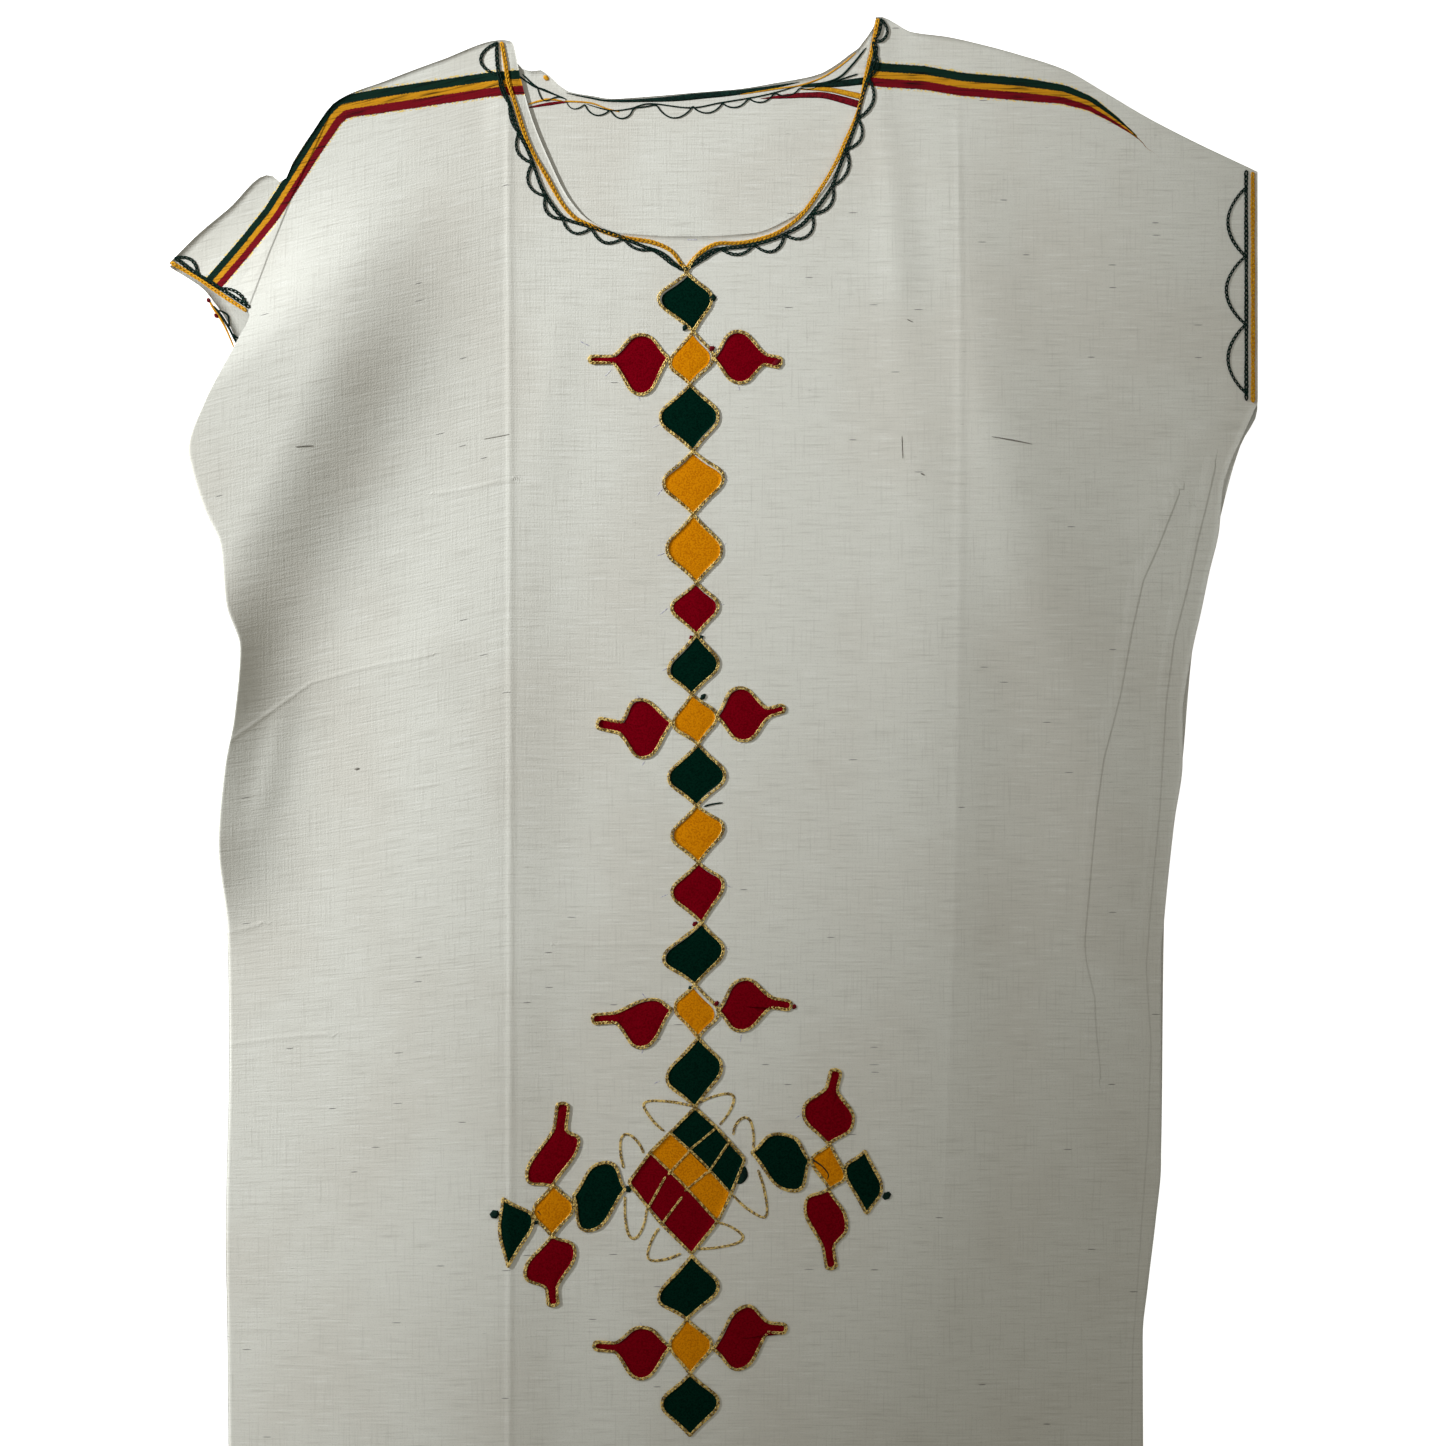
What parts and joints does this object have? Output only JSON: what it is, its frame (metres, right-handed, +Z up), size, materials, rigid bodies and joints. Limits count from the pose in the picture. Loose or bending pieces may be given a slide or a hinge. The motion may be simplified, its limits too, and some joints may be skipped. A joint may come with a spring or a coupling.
{
  "type": "habesha kemis dress laid flat",
  "caption": "Hand-woven cotton kemis dress laid flat, cap sleeves cut in one, scooped neck, embroidered crosses down the centre front.",
  "frame": {"origin": "on the surface that the dress lies on, under the centre of its bounding box", "axes": "+Z up, out of the front of the dress; +Y towards its neck; +X towards the wearer's left side, which is the picture's right"},
  "size_m": [0.654, 1.286, 0.0188],
  "materials": {
    "cotton": "plain hand-woven off-white cotton with weft slubs, matt",
    "green": "dense fuzzy embroidery thread, matt",
    "yellow": "dense fuzzy embroidery thread, matt",
    "red": "dense fuzzy embroidery thread, matt"
  },
  "bodies": {
    "root": {"front_panel": "cotton", "back_panel": "cotton", "chain_01_green": "green", "chain_02_yellow": "yellow", "chain_03_green": "green", "chain_04_yellow": "yellow", "chain_05_yellow": "yellow", "chain_06_red": "red", "chain_07_green": "green", "chain_08_yellow": "yellow", "chain_09_green": "green", "chain_10_yellow": "yellow", "chain_11_red": "red", "chain_12_green": "green", "chain_13_yellow": "yellow", "chain_14_green": "green", "chain_15_green": "green", "chain_16_yellow": "yellow", "chain_17_green": "green", "leaf_1_right": "red", "leaf_1_left": "red", "leaf_2_right": "red", "leaf_2_left": "red", "leaf_3_right": "red", "leaf_3_left": "red", "leaf_4_right": "red", "leaf_4_left": "red", "medallion_green": "green", "medallion_yellow": "yellow", "medallion_red": "red", "arm_01_left_green": "green", "arm_02_left_yellow": "yellow", "arm_03_left_red": "red", "arm_04_left_red": "red", "arm_05_left_green": "green", "arm_06_right_green": "green", "arm_07_right_yellow": "yellow", "arm_08_right_red": "red", "arm_09_right_red": "red", "arm_10_right_green": "green"}
  },
  "joints": []
}
